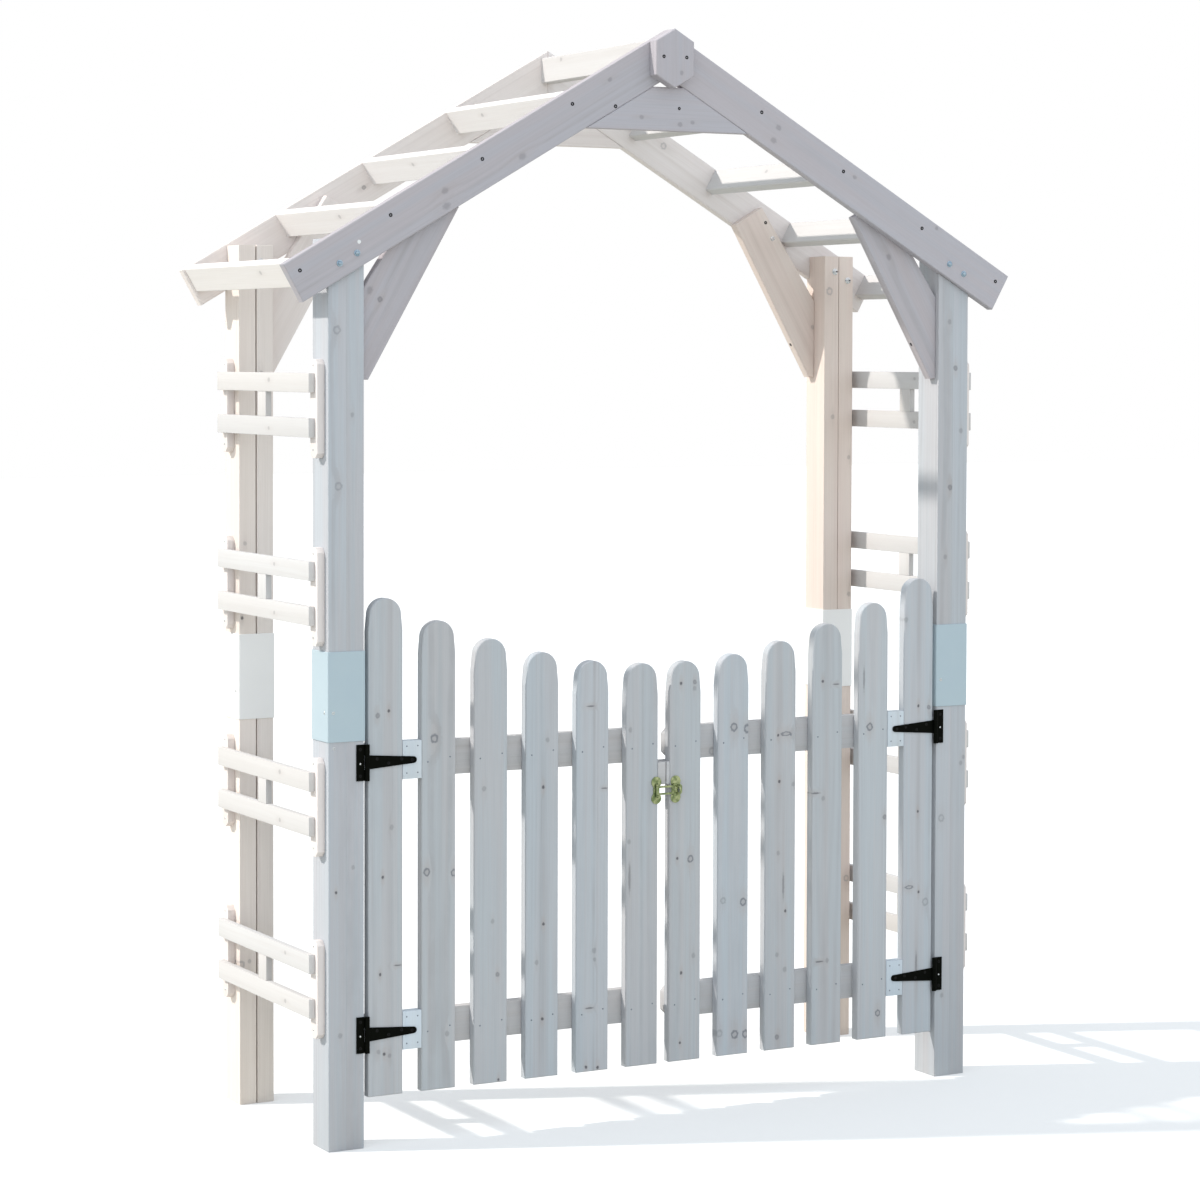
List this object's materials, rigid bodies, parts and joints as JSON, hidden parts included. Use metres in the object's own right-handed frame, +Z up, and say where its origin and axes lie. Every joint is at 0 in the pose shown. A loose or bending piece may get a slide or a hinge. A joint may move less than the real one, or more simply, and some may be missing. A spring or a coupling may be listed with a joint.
{
  "type": "garden arch with gate",
  "caption": "Timber garden arch on four posts, with a pitched slatted roof, side ladders for climbers and a pair of round-topped picket gates.",
  "frame": {"origin": "on the ground, in the middle of the four post feet", "axes": "+X to the right seen from the gate's front, +Y from the gate to the back of the arch, +Z up"},
  "size_m": [1.568, 0.56, 2.0501],
  "materials": {
    "post_timber": "white-washed sawn softwood with grain and knots showing",
    "roof_timber": "white-washed sawn softwood with grain and knots showing",
    "ladder_timber": "white-washed sawn softwood",
    "gate_timber": "white-washed sawn softwood with grain and knots showing",
    "black_steel": "black powder coat, satin",
    "sleeve_steel": "pale blue-grey powder coat, satin",
    "yellow_zinc": "yellow passivated zinc plate, glossy"
  },
  "bodies": {
    "frame": {"front_left_post": "post_timber", "front_left_rafter": "roof_timber", "front_left_knee_brace": "roof_timber", "front_right_post": "post_timber", "front_right_rafter": "roof_timber", "front_right_knee_brace": "roof_timber", "front_gusset": "roof_timber", "front_ridge_cap": "roof_timber", "rear_left_post": "post_timber", "rear_left_rafter": "roof_timber", "rear_left_knee_brace": "roof_timber", "rear_right_post": "post_timber", "rear_right_rafter": "roof_timber", "rear_right_knee_brace": "roof_timber", "rear_gusset": "roof_timber", "rear_ridge_cap": "roof_timber", "ridge_board": "roof_timber", "left_purlin_1": "roof_timber", "left_purlin_2": "roof_timber", "left_purlin_3": "roof_timber", "left_purlin_4": "roof_timber", "left_side_ladder_1": "ladder_timber", "left_side_ladder_2": "ladder_timber", "left_side_ladder_3": "ladder_timber", "left_side_ladder_4": "ladder_timber", "left_upper_hinge_plate": "black_steel", "left_lower_hinge_plate": "black_steel", "right_purlin_1": "roof_timber", "right_purlin_2": "roof_timber", "right_purlin_3": "roof_timber", "right_purlin_4": "roof_timber", "right_side_ladder_1": "ladder_timber", "right_side_ladder_2": "ladder_timber", "right_side_ladder_3": "ladder_timber", "right_side_ladder_4": "ladder_timber", "right_upper_hinge_plate": "black_steel", "right_lower_hinge_plate": "black_steel"},
    "left_gate": {"left_picket_1": "gate_timber", "left_picket_2": "gate_timber", "left_picket_3": "gate_timber", "left_picket_4": "gate_timber", "left_picket_5": "gate_timber", "left_picket_6": "gate_timber", "left_upper_rail": "gate_timber", "left_lower_rail": "gate_timber", "left_upper_hinge_strap": "black_steel", "left_lower_hinge_strap": "black_steel", "hasp_plate": "yellow_zinc"},
    "right_gate": {"right_picket_1": "gate_timber", "right_picket_2": "gate_timber", "right_picket_3": "gate_timber", "right_picket_4": "gate_timber", "right_picket_5": "gate_timber", "right_picket_6": "gate_timber", "right_upper_rail": "gate_timber", "right_lower_rail": "gate_timber", "right_upper_hinge_strap": "black_steel", "right_lower_hinge_strap": "black_steel", "staple": "yellow_zinc"},
    "hasp": {"hasp": "yellow_zinc"}
  },
  "joints": [
    {"name": "left_gate_hinge", "type": "hinge", "parent": "frame", "child": "left_gate", "pos_m": [-0.6185, -0.2495, 0.45], "axis": [0, 0, -1], "range_deg": [0, 170]},
    {"name": "right_gate_hinge", "type": "hinge", "parent": "frame", "child": "right_gate", "pos_m": [0.6185, -0.2495, 0.45], "axis": [0, 0, 1], "range_deg": [0, 170]},
    {"name": "hasp_hinge", "type": "hinge", "parent": "left_gate", "child": "hasp", "pos_m": [-0.017, -0.2508, 0.614], "axis": [0, 0, -1], "range_deg": [0, 170]}
  ]
}
